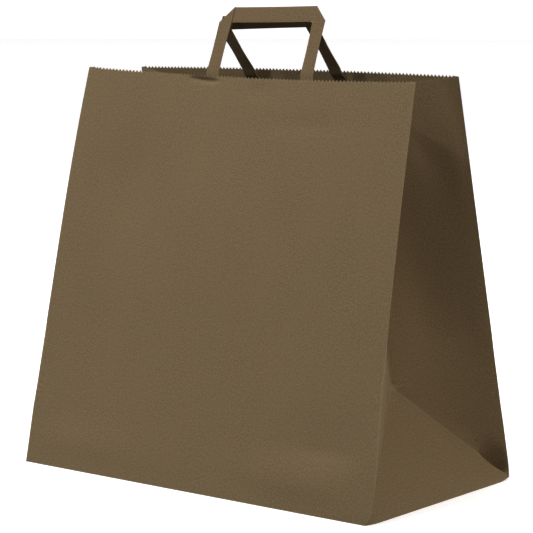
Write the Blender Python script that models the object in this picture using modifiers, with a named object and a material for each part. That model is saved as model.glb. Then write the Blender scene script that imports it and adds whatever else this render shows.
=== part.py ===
"""Brown paper carrier bag: side gussets, block bottom, zigzag rim and two flat tape handles.

Metres, +Z up. The front panel faces -Y, and the origin is the middle of the underside.
The bag stands open, with its panels leaning together and its gussets folded inwards.
"""

import math
from collections import namedtuple

import bmesh
import bpy
from mathutils import Matrix, Vector

# The sheet
WIDTH = 0.320            # front and back panels, from corner fold to corner fold
DEPTH = 0.176            # block bottom, front to back, which is also a gusset's flat width
HEIGHT = 0.301           # bottom fold to the tips of the rim, measured along the sheet
SHEET = 0.0002           # paper thickness

# How the open bag stands
FRONT_MOUTH = 0.0257     # middle plane to the front corners of the rim
BACK_MOUTH = 0.0297      # middle plane to the back corners of the rim
FRONT_BOW = 0.006        # how far the middle of the front rim is drawn in
BACK_BOW = -0.006        # how far the middle of the back rim is drawn in, so it stands out a little
FRONT_SAG = 0.0016       # how far the middle of the front rim hangs
FRONT_TAKE_IN = 0.0055   # how far the folded gussets pull each front corner of the rim in
BACK_TAKE_IN = 0.0088
RIM_SHIFT = 0.0015       # the whole rim, to the right
RIM_TWIST = math.radians(-2.3)
FRONT_LEFT_LIFT = 0.0006
FRONT_RIGHT_LIFT = -0.0015
BACK_LEFT_LIFT = -0.0017
BACK_RIGHT_LIFT = -0.0005
APEX_TAUT = 0.81         # share of the deepest fold that a gusset takes at its apex
RIM_TAUT = 0.95          # the same at the rim

# The zigzag cut of the rim
TOOTH_PITCH = 0.0034
TOOTH_DEPTH = 0.0010
FOLD_PLAIN = 0.005       # stretch on both sides of a fold where the pressed rim shows no teeth
RIM_BAND = 0.006         # plain strip under the teeth, where the rows of faces turn fine

# The bottom's glued flaps
FLAP = 0.0002            # thickness of each layer
FLAP_OVERLAP = 0.024     # how far the two long flaps lap over each other
FLAP_INSET = 0.0006      # the folds' rounding, between a flap's long edge and the wall

# The handles: one flat tape each, folded over at both top corners
TAPE_WIDTH = 0.0120
TAPE = 0.0006            # thickness of the folded tape
TAPE_LAP = 0.00005       # how deep the two layers at a corner press into each other
FOLD_STEP = 0.0005       # how far one layer's edges stay inside the other's at a corner
HANDLE_GLUED = 0.036     # length of each leg below the rim
BEND_LENGTH = 0.014      # stretch of tape that bends, from the top of its patch up
FRONT_HANDLE_SPAN = 0.104               # outer edge to outer edge of the two legs
FRONT_HANDLE_RISE = 0.055               # rim to the top of the grip, along the tape
FRONT_HANDLE_SHIFT = 0.010              # to the right of the panel's middle
FRONT_HANDLE_LEAN = math.radians(8.5)   # inwards, beyond the lean of the panel
FRONT_HANDLE_TURN = math.radians(1.5)   # in the panel's plane, right side up
BACK_HANDLE_SPAN = 0.099
BACK_HANDLE_RISE = 0.054
BACK_HANDLE_SHIFT = -0.004
BACK_HANDLE_LEAN = math.radians(26.5)
BACK_HANDLE_TURN = math.radians(1.5)
CLEARANCE = 0.0003       # between any two pieces

# The patches glued over the handles' ends
PATCH = 0.0002           # thickness
PATCH_WIDTH = 0.128
PATCH_HEIGHT = 0.040
PATCH_DROP = 0.007       # top of a patch below the valleys of the rim, where the tape comes free
PATCH_SLOPE = 0.005      # width of the ramp where a patch climbs over a leg

# How finely the sheets are divided
PANEL_COLUMNS = 8
CREASE_COLUMNS = 2
LOW_ROWS = 3
HIGH_ROWS = 8
PATCH_COLUMNS = 48
PATCH_ROWS = 2
BEND_ROWS = 5
GRIP_COLUMNS = 6
JOIN_WITHIN = 0.00001    # points closer than this are one
PROBE = 0.001            # step along the sheet that gives its direction

HALF_GUSSET = DEPTH / 2
FREE_FROM = -TOOTH_DEPTH - PATCH_DROP     # a patch's top and the start of the free tape, from the rim
FLOOR_Z = 2 * FLAP       # the sheet's own bottom lies on the two flaps
RIM_BASE = HEIGHT - TOOTH_DEPTH - RIM_BAND
COLLECTION = "paper_carrier_bag"

Handle = namedtuple("Handle", "span rise shift lean turn")
FRONT_HANDLE = Handle(FRONT_HANDLE_SPAN, FRONT_HANDLE_RISE, FRONT_HANDLE_SHIFT, FRONT_HANDLE_LEAN,
                      FRONT_HANDLE_TURN)
BACK_HANDLE = Handle(BACK_HANDLE_SPAN, BACK_HANDLE_RISE, BACK_HANDLE_SHIFT, BACK_HANDLE_LEAN,
                     BACK_HANDLE_TURN)
Panel = namedtuple("Panel", "name side mouth take_in bow sag lift_left lift_right handle")
FRONT = Panel("front", -1, FRONT_MOUTH, FRONT_TAKE_IN, FRONT_BOW, FRONT_SAG,
              FRONT_LEFT_LIFT, FRONT_RIGHT_LIFT, FRONT_HANDLE)
BACK = Panel("back", 1, BACK_MOUTH, BACK_TAKE_IN, BACK_BOW, 0,
             BACK_LEFT_LIFT, BACK_RIGHT_LIFT, BACK_HANDLE)


def rise_of(lean):
    """Height of the rim above the bottom fold when a panel leans in by this much."""
    return math.sqrt(HEIGHT ** 2 - lean ** 2)


def rim_corner(panel, side_x):
    """Corner of the rim, with side_x -1 on the left and 1 on the right."""
    flat = Vector((side_x * (WIDTH / 2 - panel.take_in), panel.side * panel.mouth, 0))
    flat = Matrix.Rotation(RIM_TWIST, 3, "Z") @ flat
    lift = panel.lift_left if side_x < 0 else panel.lift_right
    return Vector((flat.x + RIM_SHIFT, flat.y, FLOOR_Z + rise_of(HALF_GUSSET - panel.mouth) + lift))


def corner_point(panel, side_x, up):
    """Point of a corner fold, up along the sheet."""
    foot = Vector((side_x * WIDTH / 2, panel.side * HALF_GUSSET, FLOOR_Z))
    return foot.lerp(rim_corner(panel, side_x), up / HEIGHT)


def rim_point(panel, across):
    """Point of the rim's top line, across from the panel's middle."""
    share = across / (WIDTH / 2)
    chord = rim_corner(panel, -1).lerp(rim_corner(panel, 1), (share + 1) / 2)
    middling = 1 - share ** 2
    drawn_in = panel.bow * middling
    lean = HALF_GUSSET - panel.mouth
    dip = rise_of(lean) - rise_of(lean + drawn_in) + panel.sag * middling
    return chord + Vector((0, -panel.side * drawn_in, -dip))


def panel_point(panel, across, up):
    """Point of a panel's outer face, across from its middle and up along the sheet."""
    foot = Vector((across, panel.side * HALF_GUSSET, FLOOR_Z))
    return foot.lerp(rim_point(panel, across), up / HEIGHT)


def folded_in(side_x, up, taut):
    """Point straight inwards of two corner folds, as deep as the gusset between them can fold."""
    front = corner_point(FRONT, side_x, up)
    back = corner_point(BACK, side_x, up)
    depth = taut * math.sqrt(HALF_GUSSET ** 2 - ((back - front).length / 2) ** 2)
    return front.lerp(back, 0.5) - Vector((side_x * depth, 0, 0))


def gusset_apex(side_x):
    """Point where the slanting folds meet, as far from both bottom corners as in the flat sheet."""
    apex = folded_in(side_x, HALF_GUSSET, APEX_TAUT)
    inset = WIDTH / 2 - abs(apex.x)
    apex.z = FLOOR_Z + math.sqrt(HALF_GUSSET ** 2 - inset ** 2)
    return apex


def centre_fold(side_x, up):
    """Point of a gusset's middle fold, between its apex and the rim."""
    apex = gusset_apex(side_x)
    top = folded_in(side_x, HEIGHT, RIM_TAUT)
    sideways = math.hypot(top.x - apex.x, top.y - apex.y)
    top.z = apex.z + math.sqrt((HEIGHT - HALF_GUSSET) ** 2 - sideways ** 2)
    return apex.lerp(top, (up - HALF_GUSSET) / (HEIGHT - HALF_GUSSET))


def gusset_point(side_x, along, up):
    """Point of a gusset's outer face, along from the front fold and up along the sheet."""
    if up >= HALF_GUSSET:
        fold = centre_fold(side_x, up)
        if along <= HALF_GUSSET:
            return corner_point(FRONT, side_x, up).lerp(fold, along / HALF_GUSSET)
        return fold.lerp(corner_point(BACK, side_x, up), along / HALF_GUSSET - 1)
    apex = gusset_apex(side_x)
    front_slant = corner_point(FRONT, side_x, 0).lerp(apex, up / HALF_GUSSET)
    back_slant = corner_point(BACK, side_x, 0).lerp(apex, up / HALF_GUSSET)
    if along < up:
        return corner_point(FRONT, side_x, up).lerp(front_slant, along / up)
    if along > DEPTH - up:
        return back_slant.lerp(corner_point(BACK, side_x, up), (along - DEPTH + up) / up)
    return front_slant.lerp(back_slant, (along - up) / (DEPTH - 2 * up))


def spread(start, end, steps):
    """Evenly spaced values, both ends included."""
    return [start + (end - start) * step / steps for step in range(steps + 1)]


def add_rows(bm, rows):
    """Joins rows of points, each as long as the next, into one skin of four-sided faces."""
    grid = [[bm.verts.new(point) for point in row] for row in rows]
    for low, high in zip(grid, grid[1:]):
        for index in range(len(low) - 1):
            bm.faces.new((low[index], low[index + 1], high[index + 1], high[index]))


def add_rim(bm, surface, columns, folds):
    """Closes a sheet with its zigzag: one many-sided face for each column."""
    for start, end in zip(columns, columns[1:]):
        teeth = max(1, round((end - start) / TOOTH_PITCH))
        base = [surface(start, RIM_BASE), surface(end, RIM_BASE)]
        cut = []
        for index, along in enumerate(spread(end, start, 2 * teeth)):
            from_fold = min(abs(along - fold) for fold in folds)
            if from_fold > FOLD_PLAIN or along in (start, end):
                cut.append(surface(along, HEIGHT - TOOTH_DEPTH * (index % 2)))
        bm.faces.new([bm.verts.new(point) for point in base + cut])


def add_panel(bm, panel):
    columns = spread(-WIDTH / 2, WIDTH / 2, PANEL_COLUMNS)
    levels = spread(0, HALF_GUSSET, LOW_ROWS) + spread(HALF_GUSSET, RIM_BASE, HIGH_ROWS)[1:]
    add_rows(bm, [[panel_point(panel, across, up) for across in columns] for up in levels])
    add_rim(bm, lambda across, up: panel_point(panel, across, up), columns, (-WIDTH / 2, WIDTH / 2))


def add_gusset(bm, side_x):
    low_rows = []
    for up in spread(0, HALF_GUSSET, LOW_ROWS):
        alongs = spread(0, up, CREASE_COLUMNS)
        alongs += spread(up, DEPTH - up, 2 * CREASE_COLUMNS)[1:]
        alongs += spread(DEPTH - up, DEPTH, CREASE_COLUMNS)[1:]
        low_rows.append([gusset_point(side_x, along, up) for along in alongs])
    add_rows(bm, low_rows)
    columns = spread(0, DEPTH, 2 * CREASE_COLUMNS)
    levels = spread(HALF_GUSSET, RIM_BASE, HIGH_ROWS)
    add_rows(bm, [[gusset_point(side_x, along, up) for along in columns] for up in levels])
    add_rim(bm, lambda along, up: gusset_point(side_x, along, up), columns, (0, HALF_GUSSET, DEPTH))


def add_floor(bm):
    """The block bottom: one face, with a corner wherever a column of the walls stands on it."""
    columns = spread(-WIDTH / 2, WIDTH / 2, PANEL_COLUMNS)
    ranks = spread(-HALF_GUSSET, HALF_GUSSET, 2 * CREASE_COLUMNS)
    outline = [(x, ranks[0]) for x in columns] + [(columns[-1], y) for y in ranks[1:]]
    outline += [(x, ranks[-1]) for x in columns[-2::-1]] + [(columns[0], y) for y in ranks[-2:0:-1]]
    bm.faces.new([bm.verts.new((x, y, FLOOR_Z)) for x, y in outline])


def paper_material(name, colour):
    """Matt uncoated paper."""
    material = bpy.data.materials.new(name)
    material.use_nodes = True
    shader = material.node_tree.nodes["Principled BSDF"]
    shader.inputs["Base Color"].default_value = (*colour, 1)
    shader.inputs["Roughness"].default_value = 0.85
    shader.inputs["Metallic"].default_value = 0
    return material


def add_object(name, bm, material, collection):
    mesh = bpy.data.meshes.new(name)
    bm.to_mesh(mesh)
    bm.free()
    mesh.materials.append(material)
    piece = bpy.data.objects.new(name, mesh)
    collection.objects.link(piece)
    return piece


def hide_tool(piece):
    """Marks an object that only takes part in a union."""
    piece.hide_render = True
    piece.display_type = "WIRE"


def unite(piece, others):
    for other in others:
        union = piece.modifiers.new("Join " + other.name, "BOOLEAN")
        union.operation = "UNION"
        union.object = other
        hide_tool(other)


def box(low, high):
    """Box between two corners."""
    bm = bmesh.new()
    bmesh.ops.create_cube(bm, size=1)
    size = Vector(high) - Vector(low)
    bmesh.ops.scale(bm, vec=size, verts=bm.verts)
    bmesh.ops.translate(bm, vec=Vector(low) + size / 2, verts=bm.verts)
    return bm


def slice_up(bm, positions, axis):
    """Adds a ring of edges at each position along the axis."""
    for position in positions:
        parts = bm.verts[:] + bm.edges[:] + bm.faces[:]
        bmesh.ops.bisect_plane(bm, geom=parts, plane_co=axis * position, plane_no=axis)


def trim(bm, point, outward):
    """Cuts off what lies outward of a plane, and closes the cut."""
    parts = bm.verts[:] + bm.edges[:] + bm.faces[:]
    cut = bmesh.ops.bisect_plane(bm, geom=parts, plane_co=point, plane_no=outward, clear_outer=True)
    edges = [item for item in cut["geom_cut"] if isinstance(item, bmesh.types.BMEdge)]
    bmesh.ops.edgeloop_fill(bm, edges=edges)


def make_flap(panel, low, high, material, collection):
    """Long flap of the bottom, mitred at 45 degrees from the panel's bottom corners."""
    long_edge = panel.side * (HALF_GUSSET - FLAP_INSET)
    free_edge = -panel.side * FLAP_OVERLAP / 2
    bm = box((-WIDTH / 2, min(long_edge, free_edge), low), (WIDTH / 2, max(long_edge, free_edge), high))
    for side_x in (-1, 1):
        corner = Vector((side_x * (WIDTH / 2 - FLAP_INSET), long_edge, 0))
        trim(bm, corner, Vector((side_x, -panel.side, 0)))
    return add_object(panel.name + "_flap", bm, material, collection)


def make_body(material, parts, tools):
    """The folded sheet: two panels, two gussets and the block bottom with its lapped flaps."""
    bm = bmesh.new()
    add_panel(bm, FRONT)
    add_panel(bm, BACK)
    add_gusset(bm, -1)
    add_gusset(bm, 1)
    add_floor(bm)
    bmesh.ops.remove_doubles(bm, verts=bm.verts, dist=JOIN_WITHIN)
    bmesh.ops.recalc_face_normals(bm, faces=bm.faces)
    body = add_object("bag_body", bm, material, parts)
    skin = body.modifiers.new("Paper", "SOLIDIFY")
    skin.thickness = SHEET
    skin.offset = -1
    skin.use_even_offset = True
    top_of_flaps = FLOOR_Z + SHEET / 2
    under = make_flap(BACK, FLAP, top_of_flaps, material, tools)
    over = make_flap(FRONT, 0, top_of_flaps, material, tools)
    unite(body, [under, over])
    return body


def bend(free, lean):
    """How far along, how far inwards and at what angle the tape is, at a free length."""
    if free <= 0 or lean == 0:
        return max(free, 0), 0, 0
    radius = BEND_LENGTH / lean
    angle = lean * min(free / BEND_LENGTH, 1)
    rest = max(free - BEND_LENGTH, 0)
    along = radius * math.sin(angle) + rest * math.cos(angle)
    inward = radius * (1 - math.cos(angle)) + rest * math.sin(angle)
    return along, inward, angle


def lay_on_panel(panel, across, above, lift):
    """Point in a handle's own plane: from its middle, above the rim, and lifted off the outer face."""
    turn = panel.handle.turn
    foot = Matrix.Rotation(turn, 2) @ Vector((across, min(above, FREE_FROM)))
    foot += Vector((panel.handle.shift, HEIGHT))
    here = panel_point(panel, foot.x, foot.y)
    right = (panel_point(panel, foot.x + PROBE, foot.y) - here).normalized()
    climb = (here - panel_point(panel, foot.x, foot.y - PROBE)).normalized()
    inwards = climb.cross(right) * -panel.side
    climb = climb * math.cos(turn) - right * math.sin(turn)
    along, inward, angle = bend(above - FREE_FROM, panel.handle.lean)
    lift_direction = inwards * math.cos(angle) - climb * math.sin(angle)
    return here + climb * along + inwards * inward + lift_direction * lift


def make_tape(name, panel, low, high, inset, material, collection):
    """Straight stretch of tape, cut off at the slanting folds, laid beside its panel."""
    half_span = panel.handle.span / 2
    bm = box(low, high)
    slice_up(bm, spread(FREE_FROM, FREE_FROM + BEND_LENGTH, BEND_ROWS), Vector((0, 1, 0)))
    slice_up(bm, spread(-half_span, half_span, GRIP_COLUMNS)[1:-1], Vector((1, 0, 0)))
    for side_x in (-1, 1):
        fold = Vector((side_x * (half_span - inset), panel.handle.rise - TAPE_WIDTH, 0))
        trim(bm, fold, Vector((side_x, 1, 0)))
    for vert in bm.verts:
        vert.co = lay_on_panel(panel, *vert.co)
    bmesh.ops.recalc_face_normals(bm, faces=bm.faces)
    return add_object(name, bm, material, collection)


def make_handle(panel, material, parts, tools):
    """One tape: two legs, and the grip on the layer behind them."""
    near = SHEET + CLEARANCE
    middle = near + TAPE
    outer = panel.handle.span / 2
    inner = outer - TAPE_WIDTH
    top = panel.handle.rise
    leg_top = top - FOLD_STEP
    grip_end = outer - 2 * FOLD_STEP
    name = panel.name + "_handle"
    left = make_tape(name, panel, (-outer, -HANDLE_GLUED, near), (-inner, leg_top, middle),
                     0, material, parts)
    right = make_tape(name + "_right_leg", panel, (inner, -HANDLE_GLUED, near), (outer, leg_top, middle),
                      0, material, tools)
    grip = make_tape(name + "_grip", panel, (-grip_end, top - TAPE_WIDTH, middle - TAPE_LAP),
                     (grip_end, top, middle + TAPE), FOLD_STEP, material, tools)
    unite(left, [grip, right])
    return left


def patch_lift(panel, across):
    """How far a patch stands off the sheet: flat on the panel, and raised over each leg."""
    leg_middle = (panel.handle.span - TAPE_WIDTH) / 2
    beside = abs(abs(across) - leg_middle) - TAPE_WIDTH / 2 - PATCH_SLOPE / 2
    share = min(max(1 - beside / PATCH_SLOPE, 0), 1)
    return SHEET + CLEARANCE + (TAPE + CLEARANCE) * share


def make_patch(panel, material, collection):
    """Strip of paper glued over the ends of a handle."""
    bm = bmesh.new()
    columns = spread(-PATCH_WIDTH / 2, PATCH_WIDTH / 2, PATCH_COLUMNS)
    add_rows(bm, [[lay_on_panel(panel, across, above, patch_lift(panel, across)) for across in columns]
                  for above in spread(FREE_FROM - PATCH_HEIGHT, FREE_FROM, PATCH_ROWS)])
    patch = add_object(panel.name + "_handle_patch", bm, material, collection)
    skin = patch.modifiers.new("Paper", "SOLIDIFY")
    skin.thickness = PATCH
    skin.offset = panel.side
    return patch


def main():
    for piece in list(bpy.data.objects):
        bpy.data.objects.remove(piece)
    parts = bpy.data.collections.new(COLLECTION)
    tools = bpy.data.collections.new("cutters")
    bpy.context.scene.collection.children.link(parts)
    bpy.context.scene.collection.children.link(tools)
    kraft = paper_material("kraft_paper", (0.34, 0.23, 0.12))
    tape = paper_material("kraft_tape", (0.36, 0.25, 0.13))
    make_body(kraft, parts, tools)
    for panel in (FRONT, BACK):
        make_handle(panel, tape, parts, tools)
        make_patch(panel, kraft, parts)


main()
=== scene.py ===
"""Looks of the brown paper carrier bag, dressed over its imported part.

The same few driving sizes and the same sheet as in the part's source, divided finely and then
creased, bowed and dented as the bag in the picture is. Metres, +Z up, front panel towards -Y.
"""

import math
from collections import namedtuple

import bmesh
import bpy
from mathutils import Matrix, Vector, noise


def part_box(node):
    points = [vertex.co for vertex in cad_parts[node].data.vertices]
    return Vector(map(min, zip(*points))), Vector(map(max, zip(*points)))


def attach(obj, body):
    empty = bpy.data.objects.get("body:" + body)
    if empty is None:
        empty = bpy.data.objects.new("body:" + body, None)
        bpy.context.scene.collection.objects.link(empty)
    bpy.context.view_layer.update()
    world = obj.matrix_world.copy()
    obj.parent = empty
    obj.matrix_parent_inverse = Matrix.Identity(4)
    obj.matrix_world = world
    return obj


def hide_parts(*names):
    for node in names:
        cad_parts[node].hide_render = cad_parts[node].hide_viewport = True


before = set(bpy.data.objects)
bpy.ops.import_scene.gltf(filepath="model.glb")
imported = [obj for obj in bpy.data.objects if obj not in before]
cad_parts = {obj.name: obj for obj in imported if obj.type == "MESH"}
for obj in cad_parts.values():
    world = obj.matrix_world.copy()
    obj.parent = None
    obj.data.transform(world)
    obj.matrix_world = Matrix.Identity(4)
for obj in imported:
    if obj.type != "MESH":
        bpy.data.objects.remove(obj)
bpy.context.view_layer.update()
body_low, body_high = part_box("bag_body")

# The sheet, as in the part's source
WIDTH = body_high.x - body_low.x
DEPTH = body_high.y - body_low.y
HEIGHT = 0.301           # bottom fold to the tips of the rim, measured along the sheet
SHEET = 0.0002
FLAP = 0.0002
FLAP_OVERLAP = 0.024
FLAP_INSET = 0.0012
FLAP_CUT = 0.7           # share of the foot's reach at which a flap's cut corner meets the mitre

# How the open bag stands
FRONT_MOUTH = 0.0257
BACK_MOUTH = 0.0297
FRONT_BOW = 0.006
BACK_BOW = -0.006
FRONT_SAG = 0.0016
FRONT_TAKE_IN = 0.0070
BACK_TAKE_IN = 0.0088
BACK_RIGHT_TAKE_IN = 0.0108
RIM_SHIFT = 0.0015
RIM_TWIST = math.radians(-2.3)
FRONT_LEFT_LIFT = 0.0006
FRONT_RIGHT_LIFT = -0.0015
BACK_LEFT_LIFT = -0.0017
BACK_RIGHT_LIFT = -0.0005
APEX_TAUT = 0.81
RIM_TAUT = 0.95
CENTRE_SWAY = 0.0015     # how far the gussets' middle folds swing to and fro

# How the corner folds stray from straight lines, and how their feet are pushed along
FRONT_LEFT_STRAY = Vector((-0.0013, -0.0011, 0))
FRONT_LEFT_LATE = 1.9    # power of the height, over 1 where the bow lies high and under 1 where it lies low
FRONT_LEFT_FOOT = Vector((0.0014, 0, 0))
FRONT_LEFT_FOOT_HEIGHT = 0.040
FRONT_RIGHT_STRAY = Vector((-0.0020, -0.0010, 0))
FRONT_RIGHT_LATE = 0.85
FRONT_RIGHT_FOOT = Vector((-0.0042, 0.0005, 0))
FRONT_RIGHT_FOOT_HEIGHT = 0.030
BACK_LEFT_STRAY = Vector((0.0008, 0.0010, 0))
TUCK = Vector((-0.0026, 0.0002, 0))
TUCK_HEIGHT = 0.0055
PANEL_TUCK_REACH = 0.060
GUSSET_TUCK_REACH = 0.012
FOOT_LIFT = Vector((-0.0006, -0.0010, 0.0017))
FOOT_FADE = 1.5          # power with which a pushed foot fades

# The zigzag cut of the rim
TOOTH_PITCH = 0.0034
TOOTH_DEPTH = 0.0017
FOLD_PLAIN = 0.005       # beside a fold the rim is cut straight this far
FOLD_CUT = 0.3           # how much of a tooth's depth that straight cut lies below the tips
WIDE_ENOUGH = 0.6        # share of the pitch from which a stretch of the rim gets a tooth
RIM_HIGHLIGHT_REACH = 0.0003        # painted highlight on the cut edge: it is painted as light as the sheet this far from a fold
# how far below the tips the cut edge keeps its full painted highlight
RIM_HIGHLIGHT_HEIGHT = 0.0012
RIM_ROWS = (0.012, 0.009, 0.007, 0.0055, 0.0044, 0.0034, 0.0025)   # rows below the tips of the rim

# The handles
TAPE_WIDTH = 0.0120
TAPE = 0.0006
HANDLE_GLUED = 0.036
CLEARANCE = 0.0003
PATCH = 0.0002
PATCH_WIDTH = 0.128
PATCH_HEIGHT = 0.040
PATCH_DROP = 0.007
PATCH_SLOPE = 0.005
TAPE_COLUMNS = 6
GLUED_STEPS = 8
LEG_STEPS = 24
BAR_STEPS = 10
FOLD_STEPS = 6
FOLD_RADIUS = TAPE / 2 + 0.00004     # of the tape's middle, where it turns over at a corner
TAPE_EDGE = 0.00015
SLOPE_STEP = 0.002       # over which a panel's slope is taken
SKEW_LIMIT = 1.2
SMOOTH_OVER = 0.018      # a leg leaves its panel's unevenness behind over this length
STAND_OFF = 0.0009
STAND_OFF_LENGTH = 0.011
PATCH_ROWS = 12
PATCH_COLUMNS = 96

HALF_GUSSET = DEPTH / 2
FREE_FROM = -0.001 - PATCH_DROP
FLOOR_Z = 2 * FLAP
FOLD_Z = 0.00005         # underside of the bottom fold
FOOT_REACH = 0.014       # how much of the back foot on the right is lifted
VALLEY = HEIGHT - TOOTH_DEPTH

# How finely the sheet is divided
PANEL_TEETH = round(WIDTH / TOOTH_PITCH)
HALF_GUSSET_TEETH = round(HALF_GUSSET / TOOTH_PITCH)
HIGH_ROWS = 60
FOLD_ROUND = 0.0009      # columns this far beside a fold, which round it
FOLD_SOFT = 0.0024
FOLD_REACH = 0.006       # how far from a fold its distance is kept
LEVEL_CREASE = 0.011     # how far the level crease at the gussets' apex shows
ROLL_REACH = 0.030       # the sheet rolls over that crease from this far below and above it
ROLL_PASSES = 60
ROLL_FACTOR = 0.5
ROLL_INSIDE_PANELS = 0.0005
ROLL_FROM_PANELS = 0.004
ROLL_OFF_FOLD = 0.0002   # what lies closer to a fold than this stays where it is
FOLD_EASE = 0.35
SAME_PLACE = 1e-7
WELD = 0.00002

Handle = namedtuple("Handle", "span rise shift skew flare lean turn twist free_from bend_length")
FRONT_HANDLE = Handle(0.104, 0.0543, 0.010, 0, 0, math.radians(8.5), math.radians(1.2),
                      math.radians(5), FREE_FROM, 0.014)
BACK_HANDLE = Handle(0.099, 0.0510, -0.0045, 0.0054, 0.035, math.radians(24.5), math.radians(2),
                     math.radians(9), FREE_FROM - 0.004, 0.006)
Panel = namedtuple("Panel", "name side mouth take_in_left take_in_right bow sag lift_left lift_right handle")
FRONT = Panel("front", -1, FRONT_MOUTH, FRONT_TAKE_IN, FRONT_TAKE_IN, FRONT_BOW, FRONT_SAG,
              FRONT_LEFT_LIFT, FRONT_RIGHT_LIFT, FRONT_HANDLE)
BACK = Panel("back", 1, BACK_MOUTH, BACK_TAKE_IN, BACK_RIGHT_TAKE_IN, BACK_BOW, 0,
             BACK_LEFT_LIFT, BACK_RIGHT_LIFT, BACK_HANDLE)

# Soft hollows and swellings of each surface: place, half sizes, how far outwards, turned by
Dent = namedtuple("Dent", "along up half_along half_up out turn")
PANEL_DENTS = {
    "front": (
        Dent(0.118, 0.052, 0.042, 0.015, -0.0022, 4),
        Dent(0.080, 0.020, 0.050, 0.014, 0.0008, 0),
        Dent(-0.100, 0.215, 0.032, 0.050, -0.0028, 12),
        Dent(-0.010, 0.190, 0.050, 0.080, 0.0016, -6),
        Dent(-0.120, 0.110, 0.028, 0.060, -0.0010, 0),
        Dent(-0.110, 0.020, 0.050, 0.014, 0.0008, 0),
        Dent(0.060, 0.268, 0.040, 0.007, -0.0005, 1),
        Dent(0.012, 0.291, 0.010, 0.006, -0.0006, 0),
    ),
    "back": (
        Dent(-0.060, 0.150, 0.040, 0.070, 0.0014, 8),
        Dent(0.075, 0.110, 0.035, 0.060, -0.0014, -10),
        Dent(0.020, 0.240, 0.060, 0.030, 0.0010, 0),
    ),
}
POCKET_DEPTH = 0.0072
POCKET_LIP = 0.0023
POCKET_HEIGHT = 0.016
POCKET_FULL = 0.018      # from the foot to where it starts to fade
POCKET_FADE = 0.026
POCKET_FOLD_CALM = 0.006
GUSSET_DENTS = {
    "right": (
        Dent(0.134, 0.140, 0.028, 0.070, -0.0075, 5),
        Dent(0.144, 0.262, 0.011, 0.026, -0.0046, 18),
        Dent(0.165, 0.256, 0.014, 0.042, 0.0042, 16),
        Dent(0.030, 0.170, 0.016, 0.060, 0.0012, 0),
    ),
    "left": (
        Dent(0.040, 0.220, 0.014, 0.050, -0.0014, 8),
        Dent(0.130, 0.170, 0.018, 0.060, 0.0014, -6),
        Dent(0.060, 0.130, 0.012, 0.040, 0.0010, 0),
    ),
}

# Narrow ridges: both ends, half width, and how far outwards
Ridge = namedtuple("Ridge", "start end half_width out")
RIM_PINCH = (
    Ridge((-0.056, HEIGHT - 0.0034), (-0.027, HEIGHT - 0.0046), 0.0022, -0.0013),
    Ridge((-0.058, HEIGHT - 0.0004), (-0.029, HEIGHT - 0.0012), 0.0022, 0.0017),
)
GUSSET_CREASE = Ridge((0.148, 0.277), (0.157, 0.263), 0.004, 0.0009)

# Slow unevenness: waves for each metre along and up, shift of the seed, and height
WAVES = ((9, 6, 0, 0.0011), (28, 22, 7, 0.00028))

# How far from a fold the relief sets in
PANEL_CALM = 0.030
PANEL_FOOT_CALM = 0.020
GUSSET_CALM = 0.018
GUSSET_FOOT_CALM = 0.015
INNER_FOLD_CALM = 0.010

# The mark across both panels level with the gussets' apex, where the bag was folded flat
LEVEL_MARK = 0.0005
LEVEL_MARK_HALF = 0.006
LEVEL_MARK_CALM = 0.010


def rise_of(lean):
    """Height that the sheet reaches where it leans by so much."""
    return math.sqrt(HEIGHT ** 2 - lean ** 2)


def rim_corner(panel, side_x):
    take_in = panel.take_in_left if side_x < 0 else panel.take_in_right
    flat = Vector((side_x * (WIDTH / 2 - take_in), panel.side * panel.mouth, 0))
    flat = Matrix.Rotation(RIM_TWIST, 3, "Z") @ flat
    lift = panel.lift_left if side_x < 0 else panel.lift_right
    return Vector((flat.x + RIM_SHIFT, flat.y, FLOOR_Z + rise_of(HALF_GUSSET - panel.mouth) + lift))


def fold_bow(panel, side_x, up):
    """How a corner fold strays from the straight line between its foot and its rim corner."""
    share = up / HEIGHT
    if panel is FRONT and side_x < 0:
        bow = FRONT_LEFT_STRAY * math.sin(math.pi * share ** FRONT_LEFT_LATE)
        return bow + FRONT_LEFT_FOOT * max(1 - up / FRONT_LEFT_FOOT_HEIGHT, 0)
    if panel is FRONT:
        bow = FRONT_RIGHT_STRAY * math.sin(math.pi * share ** FRONT_RIGHT_LATE)
        return bow + FRONT_RIGHT_FOOT * max(1 - up / FRONT_RIGHT_FOOT_HEIGHT, 0) ** FOOT_FADE
    if side_x > 0:
        return Vector((0, 0, 0))
    return BACK_LEFT_STRAY * math.sin(math.pi * share)


def tucked_foot(up, beside, reach):
    """The tip of the front foot on the right is pushed in along the panel."""
    return TUCK * max(1 - up / TUCK_HEIGHT, 0) * max(1 - beside / reach, 0) ** FOOT_FADE


def corner_point(panel, side_x, up):
    foot = Vector((side_x * WIDTH / 2, panel.side * HALF_GUSSET, FLOOR_Z))
    return foot.lerp(rim_corner(panel, side_x), up / HEIGHT) + fold_bow(panel, side_x, up)


def rim_point(panel, across):
    share = across / (WIDTH / 2)
    chord = rim_corner(panel, -1).lerp(rim_corner(panel, 1), (share + 1) / 2)
    middling = 1 - share ** 2
    drawn_in = panel.bow * middling
    lean = HALF_GUSSET - panel.mouth
    dip = rise_of(lean) - rise_of(lean + drawn_in) + panel.sag * middling
    return chord + Vector((0, -panel.side * drawn_in, -dip))


def dents(places, along, up):
    """Sum of the soft hollows and swellings at a place of a surface."""
    total = 0
    for dent in places:
        turned = Matrix.Rotation(math.radians(-dent.turn), 2) @ Vector((along - dent.along, up - dent.up))
        reach = (turned.x / dent.half_along) ** 2 + (turned.y / dent.half_up) ** 2
        if reach < 9:
            total += dent.out * math.exp(-reach)
    return total


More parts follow.
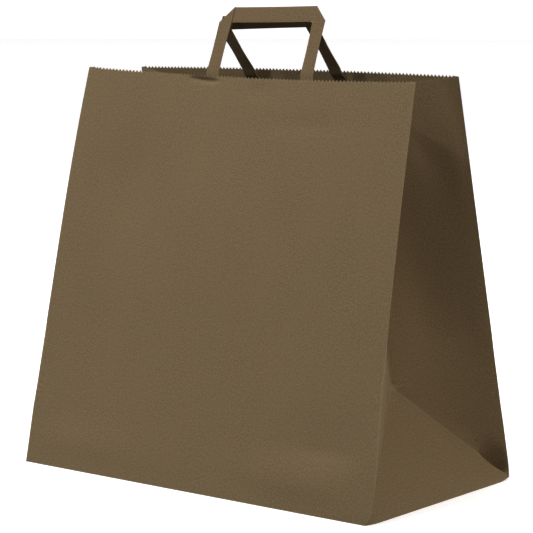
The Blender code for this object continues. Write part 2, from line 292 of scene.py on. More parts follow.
def ridge(form, along, up):
    """How far a ridge stands out: fully on its line, and falling to 0 beside it and at its ends."""
    line = Vector(form.end) - Vector(form.start)
    here = Vector((along, up)) - Vector(form.start)
    share = here.dot(line) / line.length_squared
    if not 0 < share < 1:
        return 0
    beside = abs(here.x * line.y - here.y * line.x) / line.length
    return form.out * (max(1 - beside / form.half_width, 0) * math.sin(math.pi * share) ** 0.5)


def waviness(seed, along, up):
    """Slow unevenness of a sheet that was folded flat and opened again, in metres."""
    return sum(height * noise.noise(Vector((along * along_waves, up * up_waves, seed + shift)))
               for along_waves, up_waves, shift, height in WAVES)


def calm_near(distance, reach):
    """0 at a fold and 1 from the reach on, without a kink."""
    share = min(max(distance / reach, 0), 1)
    return share * share * (3 - 2 * share)


def panel_relief(panel, across, up):
    """How far a panel's surface stands out from its plain form."""
    seed = 1 if panel is FRONT else 2
    from_corner = WIDTH / 2 - abs(across)
    calm = calm_near(from_corner, PANEL_CALM) * calm_near(up, PANEL_FOOT_CALM)
    out = calm * (waviness(seed, across, up) + dents(PANEL_DENTS[panel.name], across, up))
    level = max(1 - abs(up - HALF_GUSSET) / LEVEL_MARK_HALF, 0)
    out -= LEVEL_MARK * calm_near(from_corner, LEVEL_MARK_CALM) * level
    if panel is FRONT:
        for form in RIM_PINCH:
            out += ridge(form, across, up)
    return out


def panel_point(panel, across, up, rough=1):
    """Point of a panel's outer face, across from its middle and up along the sheet."""
    foot = Vector((across, panel.side * HALF_GUSSET, FLOOR_Z))
    plain = foot.lerp(rim_point(panel, across), up / HEIGHT)
    share = across / WIDTH + 0.5
    stray = fold_bow(panel, -1, up) * (1 - share) ** 2 + fold_bow(panel, 1, up) * share ** 2
    if panel is FRONT:
        stray += tucked_foot(up, WIDTH / 2 - across, PANEL_TUCK_REACH)
    if abs(share - 0.5) == 0.5:
        return plain + stray
    return plain + stray + Vector((0, panel.side * rough * panel_relief(panel, across, up), 0))


def folded_in(side_x, up, taut):
    front = corner_point(FRONT, side_x, up)
    back = corner_point(BACK, side_x, up)
    depth = taut * math.sqrt(HALF_GUSSET ** 2 - ((back - front).length / 2) ** 2)
    return front.lerp(back, 0.5) - Vector((side_x * depth, 0, 0))


def gusset_apex(side_x):
    apex = folded_in(side_x, HALF_GUSSET, APEX_TAUT)
    inset = WIDTH / 2 - abs(apex.x)
    apex.z = FLOOR_Z + math.sqrt(HALF_GUSSET ** 2 - inset ** 2)
    return apex


def centre_fold(side_x, up):
    apex = gusset_apex(side_x)
    top = folded_in(side_x, HEIGHT, RIM_TAUT)
    sideways = math.hypot(top.x - apex.x, top.y - apex.y)
    top.z = apex.z + math.sqrt((HEIGHT - HALF_GUSSET) ** 2 - sideways ** 2)
    share = (up - HALF_GUSSET) / (HEIGHT - HALF_GUSSET)
    sway = CENTRE_SWAY * side_x * math.sin(2 * math.pi * share)
    return apex.lerp(top, share) + Vector((0, sway, 0))


def gusset_relief(side_x, along, up):
    """How far a gusset's surface stands out from its plain form."""
    seed = 3 if side_x > 0 else 4
    name = "right" if side_x > 0 else "left"
    calm = calm_near(min(along, DEPTH - along), GUSSET_CALM)
    if up >= HALF_GUSSET:
        calm *= calm_near(abs(along - HALF_GUSSET) / math.sqrt(2), INNER_FOLD_CALM)
    else:
        from_slant = min(abs(along - up), abs(DEPTH - up - along)) / math.sqrt(2)
        calm *= calm_near(from_slant, INNER_FOLD_CALM) * calm_near(up, GUSSET_FOOT_CALM)
    out = calm * (waviness(seed, along, up) + dents(GUSSET_DENTS[name], along, up))
    if side_x > 0:
        out += ridge(GUSSET_CREASE, along, up) - back_foot_pocket(along, up)
    return out


def back_foot_pocket(along, up):
    """How deep the paper is tucked in over the slanting fold, close to the back foot on the right."""
    above_fold = (along + up - DEPTH) / math.sqrt(2)
    from_foot = (DEPTH - along + up) / math.sqrt(2)
    if not 0 < above_fold < POCKET_HEIGHT:
        return 0
    steep = min(above_fold / POCKET_LIP, 1)
    gentle = min((POCKET_HEIGHT - above_fold) / (POCKET_HEIGHT - POCKET_LIP), 1)
    fading = 1 - calm_near(from_foot - POCKET_FULL, POCKET_FADE)
    return POCKET_DEPTH * steep * gentle * fading * calm_near(DEPTH - along, POCKET_FOLD_CALM)


def gusset_plain(side_x, along, up):
    """Point of a gusset's outer face, along from the front fold and up along the sheet."""
    if up >= HALF_GUSSET:
        fold = centre_fold(side_x, up)
        if along <= HALF_GUSSET:
            return corner_point(FRONT, side_x, up).lerp(fold, along / HALF_GUSSET)
        return fold.lerp(corner_point(BACK, side_x, up), along / HALF_GUSSET - 1)
    apex = gusset_apex(side_x)
    front_slant = corner_point(FRONT, side_x, 0).lerp(apex, up / HALF_GUSSET)
    back_slant = corner_point(BACK, side_x, 0).lerp(apex, up / HALF_GUSSET)
    if along < up:
        return corner_point(FRONT, side_x, up).lerp(front_slant, along / up)
    if along > DEPTH - up:
        return back_slant.lerp(corner_point(BACK, side_x, up), (along - DEPTH + up) / up)
    return front_slant.lerp(back_slant, (along - up) / (DEPTH - 2 * up))


def gusset_point(side_x, along, up):
    place = gusset_plain(side_x, along, up) + Vector((side_x * gusset_relief(side_x, along, up), 0, 0))
    if side_x > 0:
        place += tucked_foot(up, along, GUSSET_TUCK_REACH)
    return place


def spread(start, end, steps):
    return [start + (end - start) * step / steps for step in range(steps + 1)]


def near_fold(distance):
    return min(abs(distance), FOLD_REACH)


def rim_highlight_distance(up):
    """Painted highlight on the cut edge: it counts as lying a little way from a fold, so it is painted a
    little lighter.
    """
    return RIM_HIGHLIGHT_REACH + max(HEIGHT - up - RIM_HIGHLIGHT_HEIGHT, 0) / 2


def cut_height(along, folds):
    """Height of the rim's cut between two teeth, or beside a fold, where it is straight."""
    if min(abs(along - fold) for fold in folds) <= FOLD_PLAIN:
        return HEIGHT - FOLD_CUT * TOOTH_DEPTH
    return VALLEY


class Skin:
    """Collects one surface's points, with its place on the flat sheet and the nearest fold."""

    def __init__(self, bm, point, from_fold, sheet_start):
        self.bm = bm
        self.point = point
        self.from_fold = from_fold
        self.sheet_start = sheet_start
        self.fold_layer = bm.verts.layers.float["from_fold"]
        self.uv_layer = bm.loops.layers.uv["Sheet"]
        self.places = {}

    def vert(self, along, up):
        made = self.bm.verts.new(self.point(along, up))
        made[self.fold_layer] = self.from_fold(along, up)
        self.places[made] = (self.sheet_start + along, up)
        return made

    def face(self, verts):
        made = self.bm.faces.new(verts)
        made.smooth = True
        for loop in made.loops:
            loop[self.uv_layer].uv = self.places[loop.vert]

    def rows(self, rows, slanted=None):
        """Joins rows of (along, up) places into four-sided faces."""
        grid = [[self.vert(along, up) for along, up in row] for row in rows]
        for low, high in zip(grid, grid[1:]):
            for index in range(len(low) - 1):
                corners = [low[index], low[index + 1], high[index + 1], high[index]]
                self.split(corners, slanted)
        return grid[-1]

    def split(self, corners, slanted):
        """One face, or two where a slanting fold runs from corner to corner or just beside the face."""
        if slanted:
            places = [self.places[corner] for corner in corners]
            on_fold = [slanted(along - self.sheet_start, up) for along, up in places]
            beside = sum(on_fold) == 1
            if (on_fold[0] and on_fold[2]) or (beside and (on_fold[1] or on_fold[3])):
                self.face([corners[0], corners[1], corners[2]])
                self.face([corners[0], corners[2], corners[3]])
                return
            if (on_fold[1] and on_fold[3]) or (beside and (on_fold[0] or on_fold[2])):
                self.face([corners[0], corners[1], corners[3]])
                self.face([corners[1], corners[2], corners[3]])
                return
        self.face(corners)

    def rim(self, top_row, folds):
        """Adds the strip with the zigzag over a row of points."""
        alongs = [self.places[vert][0] - self.sheet_start for vert in top_row]
        valleys = [self.vert(along, cut_height(along, folds)) for along in alongs]
        for index in range(len(alongs) - 1):
            middle = (alongs[index] + alongs[index + 1]) / 2
            wide = alongs[index + 1] - alongs[index] > WIDE_ENOUGH * TOOTH_PITCH
            corners = [top_row[index], top_row[index + 1], valleys[index + 1]]
            if wide and min(abs(middle - fold) for fold in folds) > FOLD_PLAIN:
                corners.append(self.vert(middle, HEIGHT))
            self.face(corners + [valleys[index]])


def columns_between(start, end, teeth):
    """One column for each tooth, and narrow ones beside the fold at both ends."""
    even = spread(start, end, teeth)
    beside = [start + FOLD_ROUND, start + FOLD_SOFT, end - FOLD_SOFT, end - FOLD_ROUND]
    return sorted([even[0], even[-1]] + even[1:-1] + beside)


def high_levels():
    """Rows from the gussets' apex to the foot of the rim's teeth."""
    return spread(HALF_GUSSET, HEIGHT - RIM_ROWS[0], HIGH_ROWS) + [HEIGHT - drop for drop in RIM_ROWS[1:]]


def low_levels():
    return spread(0, HALF_GUSSET, HALF_GUSSET_TEETH)


def with_round_foot(levels):
    """Adds rows close to the bottom fold, which round it."""
    return sorted(levels + [FOLD_ROUND, FOLD_SOFT])


def add_panel(bm, panel, sheet_start):
    # Distance from the nearest fold or the cut rim: rounds the folds and sets the painted highlight
    def from_fold(across, up):
        return near_fold(min(WIDTH / 2 - abs(across), up, rim_highlight_distance(up)))

    skin = Skin(bm, lambda across, up: panel_point(panel, across, up), from_fold, sheet_start)
    columns = columns_between(-WIDTH / 2, WIDTH / 2, PANEL_TEETH)
    levels = low_levels() + high_levels()[1:]
    top = skin.rows([[(across, up) for across in columns] for up in with_round_foot(levels)])
    skin.rim(top, (-WIDTH / 2, WIDTH / 2))


def add_gusset(bm, side_x, sheet_start):
    def on_slant(along, up):
        return min(abs(along - up), abs(DEPTH - up - along)) < SAME_PLACE

    # Distance from the nearest fold or the cut rim: rounds the folds and sets the painted highlight
    def from_fold(along, up):
        edge = min(along, DEPTH - along)
        from_middle = abs(along - HALF_GUSSET)
        level = abs(up - HALF_GUSSET) + max(from_middle - LEVEL_CREASE, 0)
        if up >= HALF_GUSSET:
            return near_fold(min(edge, from_middle, level, rim_highlight_distance(up)))
        slant = min(abs(along - up), abs(DEPTH - up - along)) / math.sqrt(2)
        return near_fold(min(edge, slant, up, level))

    skin = Skin(bm, lambda along, up: gusset_point(side_x, along, up), from_fold, sheet_start)
    marks = with_round_foot(low_levels())
    columns = marks[:-1] + [HALF_GUSSET] + [DEPTH - mark for mark in marks[-2::-1]]
    skin.rows([[(along, up) for along in columns] for up in marks], on_slant)
    upper = columns_between(0, HALF_GUSSET, HALF_GUSSET_TEETH)
    upper += columns_between(HALF_GUSSET, DEPTH, HALF_GUSSET_TEETH)[1:]
    add_gusset_top(skin, columns, upper)


def add_gusset_top(skin, low_columns, columns):
    """The gusset above its apex, with extra columns beside the middle fold from the first row on."""
    levels = high_levels()
    extra = [along for along in columns if min(abs(along - low) for low in low_columns) > SAME_PLACE]
    kept = [along for along in columns if along not in extra]
    base = [skin.vert(along, levels[0]) for along in kept]
    first = [skin.vert(along, levels[1]) for along in columns]
    position = 0
    for index in range(len(kept) - 1):
        run = [first[position]]
        while columns[position] < kept[index + 1]:
            position += 1
            run.append(first[position])
        skin.face([base[index], base[index + 1]] + run[::-1])
    top = [[(along, up) for along in columns] for up in levels[1:]]
    skin.rim(skin.rows(top), (0, HALF_GUSSET, DEPTH))


def add_floor(bm):
    """The sheet's own bottom, which goods stand on."""
    # Distance from the bottom folds, which sets the painted highlight along them
    def from_fold(x, y):
        return near_fold(min(WIDTH / 2 - abs(x), HALF_GUSSET - abs(y)))

    def point(x, y):
        across, deep = x / WIDTH + 0.5, y / DEPTH + 0.5
        front, back = panel_point(FRONT, x, 0), panel_point(BACK, x, 0)
        left, right = gusset_point(-1, deep * DEPTH, 0), gusset_point(1, deep * DEPTH, 0)
        near = panel_point(FRONT, -WIDTH / 2, 0).lerp(panel_point(FRONT, WIDTH / 2, 0), across)
        far = panel_point(BACK, -WIDTH / 2, 0).lerp(panel_point(BACK, WIDTH / 2, 0), across)
        return front.lerp(back, deep) + left.lerp(right, across) - near.lerp(far, deep)

    skin = Skin(bm, point, from_fold, 2 * (WIDTH + DEPTH))
    columns = columns_between(-WIDTH / 2, WIDTH / 2, PANEL_TEETH)
    marks = with_round_foot(low_levels())
    ranks = [mark - HALF_GUSSET for mark in marks] + [HALF_GUSSET - mark for mark in marks[-2::-1]]
    skin.rows([[(x, y) for x in columns] for y in ranks])


def new_bmesh():
    bm = bmesh.new()
    # Distance from the nearest fold: picks the folds to round, and sets where the paper is painted lighter
    # as a highlight
    bm.verts.layers.float.new("from_fold")
    bm.loops.layers.uv.new("Sheet")
    return bm


def finish_mesh(name, bm, material):
    """Makes the object that a bmesh holds."""
    mesh = bpy.data.meshes.new(name)
    bm.to_mesh(mesh)
    bm.free()
    mesh.materials.append(material)
    piece = bpy.data.objects.new(name, mesh)
    bpy.context.scene.collection.objects.link(piece)
    return piece


def settle(piece, sharp_angle=50):
    """Applies a piece's modifiers and marks its sharp edges."""
    depsgraph = bpy.context.evaluated_depsgraph_get()
    mesh = bpy.data.meshes.new_from_object(piece.evaluated_get(depsgraph))
    piece.modifiers.clear()
    piece.data = mesh
    mesh.shade_smooth()
    mesh.set_sharp_from_angle(angle=math.radians(sharp_angle))


def thicken(piece, thickness, offset):
    skin = piece.modifiers.new("Paper", "SOLIDIFY")
    skin.thickness = thickness
    skin.offset = offset
    skin.use_even_offset = True


def add_flap(bm, panel, low):
    """Long flap of the bottom, mitred at its ends and cut off under the lifted feet on the right."""
    long_edge = panel.side * (HALF_GUSSET - FLAP_INSET)
    free_edge = -panel.side * FLAP_OVERLAP / 2
    reach = abs(long_edge - free_edge)
    half_long = WIDTH / 2 - FLAP_INSET
    half_free = half_long - reach
    cut_off = FOOT_REACH * FLAP_CUT
    outline = [(-half_long, long_edge), (half_long - FOOT_REACH, long_edge),
               (half_long - cut_off, long_edge - panel.side * cut_off), (half_free, free_edge),
               (-half_free, free_edge)]
    fold_layer = bm.verts.layers.float["from_fold"]
    rings = []
    for z in (low, low + FLAP):
        ring = [bm.verts.new((x, y, z)) for x, y in outline]
        for vert in ring:
            vert[fold_layer] = FOLD_REACH
        rings.append(ring)
    bm.faces.new(rings[0])
    bm.faces.new(rings[1])
    for index in range(len(outline)):
        after = (index + 1) % len(outline)
        bm.faces.new((rings[0][index], rings[0][after], rings[1][after], rings[1][index]))


def crumple_back_foot(bm):
    """Lifts the tip of the back foot on the right."""
    foot = Vector((WIDTH / 2, HALF_GUSSET, 0))
    for vert in bm.verts:
        share = 1 - (vert.co - foot).length / FOOT_REACH
        if share > 0:
            vert.co += FOOT_LIFT * share ** FOOT_FADE


def close_bottom_fold(bm):
    """Brings the bottom fold down round the flaps' edges."""
    fold_layer = bm.verts.layers.float["from_fold"]
    for vert in bm.verts:
        if vert[fold_layer] == 0 and vert.co.z < FLOOR_Z + FLAP:
            vert.co.z = FOLD_Z


def smooth(bm, verts, factor):
    bmesh.ops.smooth_vert(bm, verts=verts, factor=factor, use_axis_x=True, use_axis_y=True, use_axis_z=True)


def soften_level_creases(bm):
    """Rolls the gussets over the level crease beside their apex, where only its ends are pressed in."""
    fold_layer = bm.verts.layers.float["from_fold"]
    rolled = []
    for vert in bm.verts:
        beside_panels = (abs(vert.co.x) < WIDTH / 2 - ROLL_INSIDE_PANELS
                         and abs(vert.co.y) < HALF_GUSSET - ROLL_FROM_PANELS)
        level = abs(vert.co.z - FLOOR_Z - gusset_apex(1).z) < ROLL_REACH
        if beside_panels and level and vert[fold_layer] > ROLL_OFF_FOLD:
            rolled.append(vert)
    for _ in range(ROLL_PASSES):
        smooth(bm, rolled, ROLL_FACTOR)


def make_body(material):
    bm = new_bmesh()
    add_panel(bm, FRONT, WIDTH / 2)
    add_gusset(bm, 1, WIDTH)
    add_panel(bm, BACK, WIDTH * 1.5 + DEPTH)
    add_gusset(bm, -1, 2 * WIDTH + DEPTH)
    add_floor(bm)
    bmesh.ops.remove_doubles(bm, verts=bm.verts, dist=WELD)
    bmesh.ops.recalc_face_normals(bm, faces=bm.faces)
    soften_level_creases(bm)
    fold_layer = bm.verts.layers.float["from_fold"]
    folds = [vert for vert in bm.verts if vert[fold_layer] == 0 and vert.co.z > FLOOR_Z]
    smooth(bm, folds, FOLD_EASE)
    close_bottom_fold(bm)
    crumple_back_foot(bm)
    body = finish_mesh("paper_bag", bm, material)
    thicken(body, SHEET, -1)
    settle(body)
    flaps = new_bmesh()
    add_flap(flaps, BACK, FLAP)
    add_flap(flaps, FRONT, 0)
    bmesh.ops.recalc_face_normals(flaps, faces=flaps.faces)
    under = finish_mesh("bottom_flaps", flaps, material)
    settle(under)
    return [body, under]


def bend(handle, above):
    """How far along the panel and inwards a free part of the tape reaches, and how far it leans there."""
    free = above - handle.free_from
    if free <= 0:
        return 0, 0, 0
    radius = handle.bend_length / handle.lean
    angle = handle.lean * min(free / handle.bend_length, 1)
    rest = max(free - handle.bend_length, 0)
    along = radius * math.sin(angle) + rest * math.cos(angle)
    inward = radius * (1 - math.cos(angle)) + rest * math.sin(angle)
    return along, inward, angle


def lay_on_panel(panel, across, above, lift):
    """Point in a handle's own plane: from its middle, above the rim, and lifted off the outer face."""
    handle = panel.handle
    turn = handle.turn
    free_from = handle.free_from
    flared = across * (1 + handle.flare * max(above, 0) / handle.rise)
    skewed = flared + handle.skew * min(1 - above / handle.rise, SKEW_LIMIT)
    foot = Matrix.Rotation(turn, 2) @ Vector((skewed, min(above, free_from)))
    foot += Vector((handle.shift, HEIGHT))
    rough = 1 - calm_near(above - free_from, SMOOTH_OVER)
    here = panel_point(panel, foot.x, foot.y, rough)
    right = (panel_point(panel, foot.x + SLOPE_STEP, foot.y, rough) - here).normalized()
    climb = (here - panel_point(panel, foot.x, foot.y - SLOPE_STEP, rough)).normalized()
    inwards = climb.cross(right) * -panel.side
    climb = climb * math.cos(turn) - right * math.sin(turn)
    along, inward, angle = bend(handle, above)
    lift_direction = inwards * math.cos(angle) - climb * math.sin(angle)
    twist = Vector((0, -leg_twist(handle, across, above), 0))
    return here + climb * along + inwards * inward + lift_direction * lift + twist


def leg_twist(handle, across, above):
    """How far a place on a free leg is turned forward about the leg's own middle."""
    leg_middle = math.copysign((handle.span - TAPE_WIDTH) / 2, across)
    share = above / (handle.rise - TAPE_WIDTH)
    if not 0 < share < 1:
        return 0
    return (across - leg_middle) * math.tan(handle.twist) * math.sin(math.pi * share) ** 2


def tape_line(panel, share):
    """One line along the tape: (across, above, behind) from the left end to the right one."""
    handle = panel.handle
    outer = handle.span / 2 - share * TAPE_WIDTH
    top = handle.rise - TAPE_WIDTH + share * TAPE_WIDTH
    cut = FOLD_RADIUS * math.sqrt(2)
    leg = spread(-HANDLE_GLUED, handle.free_from, GLUED_STEPS)
    leg += spread(handle.free_from, top - cut, LEG_STEPS)[1:]
    line = [(-outer, above, 0) for above in leg]
    for step in range(1, FOLD_STEPS):
        turned = step / FOLD_STEPS
        bulge = FOLD_RADIUS * math.sin(math.pi * turned) / math.sqrt(2)
        behind = FOLD_RADIUS * (1 - math.cos(math.pi * turned))
        line.append((-outer + cut * turned - bulge, top - cut + cut * turned + bulge, behind))
    line += [(across, top, 2 * FOLD_RADIUS) for across in spread(-outer + cut, 0, BAR_STEPS)]
    return line + [(-across, above, behind) for across, above, behind in line[-2::-1]]


def stand_off(above):
    """How far a leg's free part stands off its panel, to clear the pinched rim."""
    share = (above - FREE_FROM) / STAND_OFF_LENGTH
    return STAND_OFF * math.sin(math.pi * share) ** 2 if 0 < share < 1 else 0


def make_handle(panel, material):
    near = SHEET + CLEARANCE + TAPE / 2
    bm = new_bmesh()
    fold_layer = bm.verts.layers.float["from_fold"]
    uv_layer = bm.loops.layers.uv["Sheet"]
    lines = []
    for share in spread(0, 1, TAPE_COLUMNS):
        line = []
        travelled = 0
        previous = None
        for across, above, behind in tape_line(panel, share):
            vert = bm.verts.new(lay_on_panel(panel, across, above, near + behind + stand_off(above)))
            if previous:
                travelled += (vert.co - previous.co).length
            previous = vert
            # Painted highlight along the tape's long edges
            vert[fold_layer] = near_fold(min(share, 1 - share) * TAPE_WIDTH)
            line.append((vert, (share * TAPE_WIDTH, travelled)))
        lines.append(line)
    for low, high in zip(lines, lines[1:]):
        for index in range(len(low) - 1):
            corners = [low[index], high[index], high[index + 1], low[index + 1]]
            face = bm.faces.new([vert for vert, _ in corners])
            for loop, (_, place) in zip(face.loops, corners):
                loop[uv_layer].uv = place
    bmesh.ops.recalc_face_normals(bm, faces=bm.faces)
    handle = finish_mesh(panel.name + "_tape_handle", bm, material)
    thicken(handle, TAPE, 0)
    edge = handle.modifiers.new("Soft edges", "BEVEL")
    edge.width = TAPE_EDGE
    edge.segments = 2
    edge.angle_limit = math.radians(60)
    settle(handle, sharp_angle=40)
    return handle


def patch_lift(panel, across):
    leg_middle = (panel.handle.span - TAPE_WIDTH) / 2
    beside = abs(abs(across) - leg_middle) - TAPE_WIDTH / 2 - PATCH_SLOPE / 2
    share = min(max(1 - beside / PATCH_SLOPE, 0), 1)
    share = share * share * (3 - 2 * share)
    return SHEET + CLEARANCE + (TAPE + CLEARANCE) * share


def make_patch(panel, material):
    bm = new_bmesh()
    top = panel.handle.free_from
    drops = spread(FREE_FROM - PATCH_HEIGHT, top, PATCH_ROWS)
    columns = spread(-PATCH_WIDTH / 2, PATCH_WIDTH / 2, PATCH_COLUMNS)

    # Distance from the patch's edges, which sets the painted highlight along them
    def from_edge(across, above):
        return near_fold(min(PATCH_WIDTH / 2 - abs(across), top - above, above - drops[0]))

    skin = Skin(bm, lambda across, above: lay_on_panel(panel, across, above, patch_lift(panel, across)),
                from_edge, 0)
    skin.rows([[(across, above) for across in columns] for above in drops])
    bmesh.ops.recalc_face_normals(bm, faces=bm.faces)
    patch = finish_mesh(panel.name + "_glued_patch", bm, material)
    inward = Vector((0, -panel.side, 0))
    facing = sum((face.normal.dot(inward) for face in patch.data.polygons)) > 0
    thicken(patch, PATCH, 1 if facing else -1)
    settle(patch)
    return patch


# The paper: colours as red, green and blue, and its layers as noise, the values between which a layer
# sets in, its tint of the paper's colour, and its strength
SHEET_COLOUR = (0.197, 0.1370, 0.0675)
# Painted highlights: the sheet is painted lighter along its folds and its cut rim, and the tape along its
# long edges
SHEET_HIGHLIGHT = (0.30, 0.22, 0.120)
SHEET_GRAIN_TURN = 8
TAPE_COLOUR = (0.156, 0.1025, 0.0490)
TAPE_HIGHLIGHT = (0.24, 0.165, 0.085)
TAPE_GRAIN_TURN = 0
DARK_SPOT = (WIDTH + 0.1524, 0.0351, 0.0011)        # on the flat sheet, with its radius
SPOT_TINT = 0.35
SPOT_STRENGTH = 0.9
# How strongly the painted highlight is mixed in, and the distances from a fold at which it is full and at
# which it is gone
HIGHLIGHT_STRENGTH = 0.55
HIGHLIGHT_FULL = 0.0001
HIGHLIGHT_NONE = 0.0008
Layer = namedtuple("Layer", "scale detail stretch low high tint strength")
EVEN = (1, 1, 1)
PULP_GROUND = 0.64
PAPER_LAYERS = (
    Layer(850, 3, EVEN, 0.32, 0.68, 1.40, 1),                   # pulp
    Layer(30, 4, (1.3, 0.45, 1), 0.35, 0.65, 1.10, 0.35),       # slow mottling
    Layer(420, 3, (1.6, 0.5, 1), 0.58, 0.74, 1.35, 0.28),       # pale fibres
    Layer(420, 2, (0.5, 1.6, 1), 0.62, 0.75, 0.62, 0.30),       # dark fibres
    Layer(900, 1, EVEN, 0.74, 0.80, 0.45, 0.55),                # specks
)
Bump = namedtuple("Bump", "strength distance scale detail")
PAPER_BUMPS = (Bump(0.35, 0.0003, 1500, 3), Bump(0.16, 0.0006, 400, 3))


def node(tree, kind, **inputs):
    """New node with the values of its named inputs."""
    made = tree.nodes.new(kind)
    for name, value in inputs.items():
        made.inputs[name.replace("_", " ")].default_value = value
    return made


def paper_material(name, colour, highlight_colour, grain_turn, spots=()):
    """Uncoated kraft paper: clouds of pulp, short fibres, specks, a painted highlight along folds and edges,
    and a soft tooth.
    """
    material = bpy.data.materials.new(name)
    material.use_nodes = True
    tree = material.node_tree
    shader = tree.nodes["Principled BSDF"]
    shader.inputs["Roughness"].default_value = 0.82
    shader.inputs["Specular IOR Level"].default_value = 0.25
    place = tree.nodes.new("ShaderNodeUVMap")
    place.uv_map = "Sheet"
    turned = node(tree, "ShaderNodeMapping")
    turned.inputs["Rotation"].default_value = (0, 0, math.radians(grain_turn))
    tree.links.new(place.outputs["UV"], turned.inputs["Vector"])

    def clouds(scale, detail, stretch=EVEN):
        stretched = node(tree, "ShaderNodeMapping")
        stretched.inputs["Scale"].default_value = stretch
        tree.links.new(turned.outputs["Vector"], stretched.inputs["Vector"])
        made = node(tree, "ShaderNodeTexNoise", Scale=scale, Detail=detail, Roughness=0.6)
        tree.links.new(stretched.outputs["Vector"], made.inputs["Vector"])
        return made.outputs["Fac"]

    def ramp(value, low, high):
        made = node(tree, "ShaderNodeMapRange")
        made.inputs["From Min"].default_value = low
        made.inputs["From Max"].default_value = high
        made.clamp = True
        tree.links.new(value, made.inputs["Value"])
        return made.outputs["Result"]

    def mix(factor, first, second, strength):
        made = tree.nodes.new("ShaderNodeMix")
        made.data_type = "RGBA"
        scaled = tree.nodes.new("ShaderNodeMath")
        scaled.operation = "MULTIPLY"
        scaled.inputs[1].default_value = strength
        tree.links.new(factor, scaled.inputs[0])
        tree.links.new(scaled.outputs[0], made.inputs["Factor"])
        for socket, value in ((made.inputs["A"], first), (made.inputs["B"], second)):
            if isinstance(value, tuple):
                socket.default_value = (*value, 1)
            else:
                tree.links.new(value, socket)
        return made.outputs["Result"]

    def tinted(share):
        return tuple(part * share for part in colour)

    colour_now = tinted(PULP_GROUND)
    for layer in PAPER_LAYERS:
        shown = ramp(clouds(layer.scale, layer.detail, layer.stretch), layer.low, layer.high)
        colour_now = mix(shown, colour_now, tinted(layer.tint), layer.strength)
    for along, up, radius in spots:
        away = tree.nodes.new("ShaderNodeVectorMath")
        away.operation = "DISTANCE"
        away.inputs[1].default_value = (along, up, 0)
        tree.links.new(place.outputs["UV"], away.inputs[0])
        on_spot = ramp(away.outputs["Value"], radius, radius / 2)
        colour_now = mix(on_spot, colour_now, tinted(SPOT_TINT), SPOT_STRENGTH)
    # Painted highlight: the colour turns lighter close to a fold or edge, after the from_fold distance
    fold = tree.nodes.new("ShaderNodeAttribute")
    fold.attribute_name = "from_fold"
    on_fold = ramp(fold.outputs["Fac"], HIGHLIGHT_NONE, HIGHLIGHT_FULL)
    colour_now = mix(on_fold, colour_now, highlight_colour, HIGHLIGHT_STRENGTH)
    tree.links.new(colour_now, shader.inputs["Base Color"])

    normal = shader.inputs["Normal"]
    for bump in reversed(PAPER_BUMPS):
        made = node(tree, "ShaderNodeBump", Strength=bump.strength, Distance=bump.distance)
        tree.links.new(clouds(bump.scale, bump.detail), made.inputs["Height"])
        tree.links.new(made.outputs["Normal"], normal)
        normal = made.inputs["Normal"]
    return material


def dress():
    sheet = paper_material("kraft_sheet", SHEET_COLOUR, SHEET_HIGHLIGHT, SHEET_GRAIN_TURN, [DARK_SPOT])
    tape = paper_material("kraft_tape", TAPE_COLOUR, TAPE_HIGHLIGHT, TAPE_GRAIN_TURN)
    body, flaps = make_body(sheet)
    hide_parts("bag_body")
    pieces = [(body, "kraft_sheet"), (flaps, "kraft_sheet")]
    for panel in (FRONT, BACK):
        handle = make_handle(panel, tape)
        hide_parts(panel.name + "_handle")
        patch = make_patch(panel, sheet)
        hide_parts(panel.name + "_handle_patch")
        pieces += [(handle, "kraft_tape"), (patch, "kraft_sheet")]
    for piece, slot in pieces:
        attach(piece, "root")


# The camera, as it fits the picture's corners and folds
FOCAL_PIXELS = 2108.7
PICTURE_PIXELS = 533
SENSOR = 36
CAMERA_DISTANCE = 1.56494
CAMERA_AZIMUTH = math.radians(37.69)
CAMERA_ELEVATION = math.radians(7.69)
CAMERA_ROLL = math.radians(0.07)
TARGET_RIGHT = 0.00243
TARGET_UP = 0.1510
CLIP_NEAR = 0.05
CLIP_FAR = 200


def add_camera():
    back = Vector((math.sin(CAMERA_AZIMUTH) * math.cos(CAMERA_ELEVATION),
                   -math.cos(CAMERA_AZIMUTH) * math.cos(CAMERA_ELEVATION), math.sin(CAMERA_ELEVATION)))
    turned = (-back).to_track_quat("-Z", "Y").to_matrix() @ Matrix.Rotation(CAMERA_ROLL, 3, "Z")
    right, up = turned.col[0], turned.col[1]
    data = bpy.data.cameras.new("camera")
    data.sensor_width = SENSOR
    data.lens = FOCAL_PIXELS / PICTURE_PIXELS * SENSOR
    data.clip_start = CLIP_NEAR
    data.clip_end = CLIP_FAR
    camera = bpy.data.objects.new("camera", data)
    camera.matrix_world = turned.to_4x4()
    camera.location = right * TARGET_RIGHT + up * TARGET_UP + back * CAMERA_DISTANCE
    bpy.context.scene.collection.objects.link(camera)
    bpy.context.scene.camera = camera


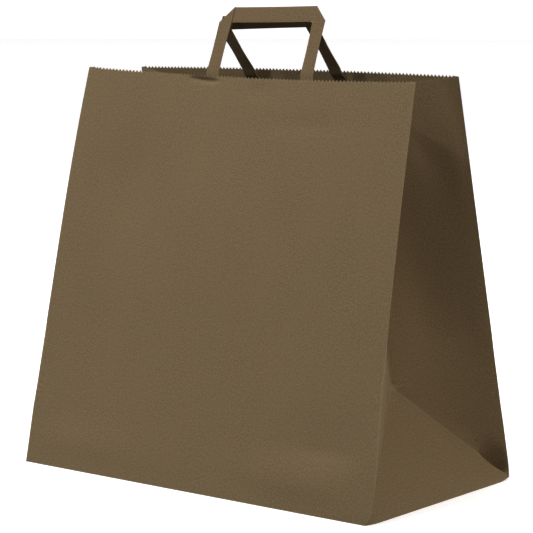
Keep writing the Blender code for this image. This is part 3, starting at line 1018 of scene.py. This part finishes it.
SKY_STRENGTH = 0.93
SKY_FROM = 0.3           # sine of the height above the horizon where the sky's light sets in
FLOOR_SIZE = 120
FLOOR_GLOW = 0.5
BACKDROP = 12            # radius of the pale wall round the bag
BACKDROP_GLOW = 1
LIT_POINT = Vector((0, 0, 0.16))
WHITE = (1, 1, 1)
WARM = (1, 0.91, 0.79)
Light = namedtuple("Light", "name azimuth elevation distance size power colour")
LIGHTS = (
    Light("key_a", -10, 43, 3.2, 0.20, 18, WHITE),
    Light("key_b", -36, 45, 3.2, 0.20, 16, WHITE),
    Light("overhead", -20, 70, 3.2, 0.60, 38, WHITE),
    Light("left_fill", -70, 12, 2.4, 0.90, 0.8, WHITE),
    Light("low_fill", -15, -1, 1.8, 0.25, 0.8, WHITE),
    Light("side", 90, 25, 2.4, 1.60, 11, WARM),
    Light("side_back", 110, 15, 2.4, 1.00, 8, WARM),
    Light("behind", 180, 30, 2.6, 1.40, 16, WHITE),
)


def add_light(form):
    """Soft light on a sphere round the bag. Azimuth 0 is in front of it, and 90 on its right."""
    turn, climb = math.radians(form.azimuth), math.radians(form.elevation)
    back = Vector((math.sin(turn) * math.cos(climb), -math.cos(turn) * math.cos(climb), math.sin(climb)))
    data = bpy.data.lights.new(form.name, "AREA")
    data.shape = "DISK"
    data.size = form.size
    data.energy = form.power
    data.color = form.colour
    light = bpy.data.objects.new(form.name, data)
    light.rotation_euler = (-back).to_track_quat("-Z", "Y").to_euler()
    light.location = LIT_POINT + back * form.distance
    bpy.context.scene.collection.objects.link(light)


def pale_material(name, roughness, glow):
    pale = bpy.data.materials.new(name)
    pale.use_nodes = True
    shader = pale.node_tree.nodes["Principled BSDF"]
    shader.inputs["Base Color"].default_value = (0.9, 0.9, 0.9, 1)
    shader.inputs["Roughness"].default_value = roughness
    shader.inputs["Emission Color"].default_value = (1, 1, 1, 1)
    shader.inputs["Emission Strength"].default_value = glow
    return pale


def add_studio():
    bpy.ops.mesh.primitive_plane_add(size=FLOOR_SIZE)
    floor = bpy.context.object
    floor.name = "studio_floor"
    floor.data.materials.append(pale_material("studio_floor", 0.9, FLOOR_GLOW))
    floor.visible_diffuse = False
    bpy.context.scene.world = sky()
    bpy.context.scene.view_settings.view_transform = "Standard"
    for form in LIGHTS:
        add_light(form)


def add_backdrop():
    """Pale wall round the bag, some way off, which low views end on."""
    bm = bmesh.new()
    bmesh.ops.create_cone(bm, segments=64, radius1=BACKDROP, radius2=BACKDROP, depth=BACKDROP * 0.3,
                          cap_ends=False)
    mesh = bpy.data.meshes.new("studio_backdrop")
    bm.to_mesh(mesh)
    bm.free()
    wall = bpy.data.objects.new("studio_backdrop", mesh)
    wall.location.z = BACKDROP * 0.14
    bpy.context.scene.collection.objects.link(wall)
    mesh.materials.append(pale_material("studio_backdrop", 0.5, BACKDROP_GLOW))
    wall.visible_diffuse = False


def sky():
    """A studio lit from above: bright overhead, dark towards the horizon."""
    world = bpy.data.worlds.new("studio")
    world.use_nodes = True
    tree = world.node_tree
    back = tree.nodes["Background"]
    back.inputs["Strength"].default_value = SKY_STRENGTH
    place = tree.nodes.new("ShaderNodeTexCoord")
    split = tree.nodes.new("ShaderNodeSeparateXYZ")
    tree.links.new(place.outputs["Generated"], split.inputs["Vector"])
    climb = tree.nodes.new("ShaderNodeMapRange")
    climb.inputs["From Min"].default_value = SKY_FROM
    tree.links.new(split.outputs["Z"], climb.inputs["Value"])
    tree.links.new(climb.outputs["Result"], back.inputs["Color"])
    return world


dress()
add_camera()
add_studio()
add_backdrop()
